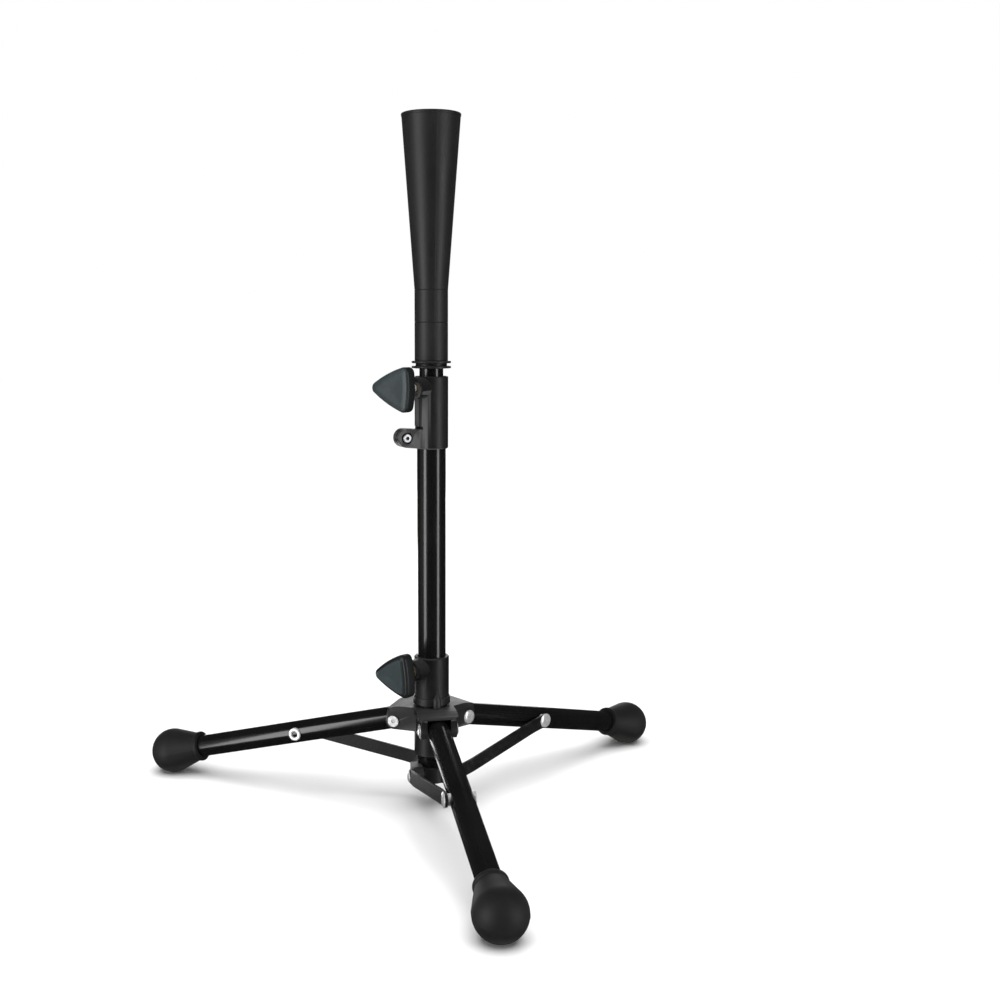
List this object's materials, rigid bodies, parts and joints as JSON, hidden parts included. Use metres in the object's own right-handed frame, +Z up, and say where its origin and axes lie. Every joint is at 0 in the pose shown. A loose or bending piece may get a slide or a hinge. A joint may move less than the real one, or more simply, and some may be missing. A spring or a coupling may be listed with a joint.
{
  "type": "batting tee",
  "caption": "Folding batting tee: rubber ball topper on a clamped telescopic tube post over a low tripod of tube legs with flat struts and ball feet.",
  "frame": {"origin": "on the post's axis at floor level, midway between the three feet", "axes": "+Z up along the post, -Y along the front leg"},
  "size_m": [0.5082, 0.4458, 0.6144],
  "materials": {
    "gloss_black_tube": "gloss black enamel",
    "plug_plastic": "satin moulded",
    "black_nylon": "satin moulded, fine texture",
    "bearing_plastic": "natural acetal",
    "zinc_screw": "bright zinc",
    "nickel_rivet": "bright nickel",
    "brass_insert": "turned",
    "knob_plastic": "satin, fine moulded grain",
    "painted_flat_steel": "satin black paint",
    "topper_rubber": "matt moulded rubber",
    "foot_rubber": "matt moulded rubber"
  },
  "bodies": {
    "post": {"outer_tube": "gloss_black_tube", "outer_tube_end_plug": "plug_plastic", "upper_clamp_collar": "black_nylon", "tube_guide_bush": "bearing_plastic", "ear_clamp_screw": "zinc_screw", "ear_clamp_nut": "zinc_screw", "upper_thread_insert": "brass_insert", "upper_pressure_pad": "bearing_plastic", "lower_strut_collar": "black_nylon", "collar_fixing_screw": "zinc_screw", "strut_collar_rivets": "nickel_rivet"},
    "inner_post": {"inner_tube": "gloss_black_tube", "inner_guide_plug": "plug_plastic", "topper_adapter": "black_nylon", "rubber_topper": "topper_rubber"},
    "upper_knob": {"upper_knob_head": "knob_plastic", "upper_knob_screw": "zinc_screw"},
    "hub": {"hub_lock_collar": "black_nylon", "hub_spider": "black_nylon", "leg_pivot_rivets": "nickel_rivet", "lower_thread_insert": "brass_insert", "lower_pressure_pad": "bearing_plastic"},
    "lower_knob": {"lower_knob_head": "knob_plastic", "lower_knob_screw": "zinc_screw"},
    "leg_front": {"leg_tube_front": "gloss_black_tube", "leg_insert_front": "plug_plastic", "foot_cap_front": "foot_rubber", "strut_spacer_front": "nickel_rivet", "strut_rivet_front": "nickel_rivet"},
    "strut_front": {"strut_front": "painted_flat_steel", "strut_rivet_head_front": "nickel_rivet"},
    "leg_left": {"leg_tube_left": "gloss_black_tube", "leg_insert_left": "plug_plastic", "foot_cap_left": "foot_rubber", "strut_spacer_left": "nickel_rivet", "strut_rivet_left": "nickel_rivet"},
    "strut_left": {"strut_left": "painted_flat_steel", "strut_rivet_head_left": "nickel_rivet"},
    "leg_right": {"leg_tube_right": "gloss_black_tube", "leg_insert_right": "plug_plastic", "foot_cap_right": "foot_rubber", "strut_spacer_right": "nickel_rivet", "strut_rivet_right": "nickel_rivet"},
    "strut_right": {"strut_right": "painted_flat_steel", "strut_rivet_head_right": "nickel_rivet"}
  },
  "joints": [
    {"name": "post_height", "type": "slide", "parent": "post", "child": "inner_post", "axis": [0, 0, 1], "range_m": [0, 0.25]},
    {"name": "upper_knob_turn", "type": "hinge", "parent": "post", "child": "upper_knob", "pos_m": [-0.02958, -0.02617, 0.3818], "axis": [-0.749, -0.6626, 0], "range_deg": [0, 360]},
    {"name": "hub_slide", "type": "slide", "parent": "post", "child": "hub", "axis": [0, 0, 1], "range_m": [0, 0.1742]},
    {"name": "lower_knob_turn", "type": "hinge", "parent": "hub", "child": "lower_knob", "pos_m": [-0.02872, -0.02087, 0.1304], "axis": [-0.809, -0.5878, 0], "range_deg": [0, 360]},
    {"name": "leg_front_fold", "type": "hinge", "parent": "hub", "child": "leg_front", "pos_m": [0, -0.0309, 0.0801], "axis": [1, 0, 0], "range_deg": [0, 70.02]},
    {"name": "strut_front_fold", "type": "hinge", "parent": "post", "child": "strut_front", "pos_m": [0, -0.014, 0.0325], "axis": [-1, 0, 0], "range_deg": [0, 66.06]},
    {"name": "leg_left_fold", "type": "hinge", "parent": "hub", "child": "leg_left", "pos_m": [-0.02676, 0.01545, 0.0801], "axis": [-0.5, -0.866, 0], "range_deg": [0, 70.02]},
    {"name": "strut_left_fold", "type": "hinge", "parent": "post", "child": "strut_left", "pos_m": [-0.01212, 0.007, 0.0325], "axis": [0.5, 0.866, 0], "range_deg": [0, 66.06]},
    {"name": "leg_right_fold", "type": "hinge", "parent": "hub", "child": "leg_right", "pos_m": [0.02676, 0.01545, 0.0801], "axis": [-0.5, 0.866, 0], "range_deg": [0, 70.02]},
    {"name": "strut_right_fold", "type": "hinge", "parent": "post", "child": "strut_right", "pos_m": [0.01212, 0.007, 0.0325], "axis": [0.5, -0.866, 0], "range_deg": [0, 66.06]}
  ],
  "couplings": [
    {"joint": "leg_front_fold", "follows": "hub_slide", "rad_per_m": 7.0136},
    {"joint": "strut_front_fold", "follows": "hub_slide", "rad_per_m": 6.6163},
    {"joint": "leg_left_fold", "follows": "hub_slide", "rad_per_m": 7.0136},
    {"joint": "strut_left_fold", "follows": "hub_slide", "rad_per_m": 6.6163},
    {"joint": "leg_right_fold", "follows": "hub_slide", "rad_per_m": 7.0136},
    {"joint": "strut_right_fold", "follows": "hub_slide", "rad_per_m": 6.6163}
  ]
}
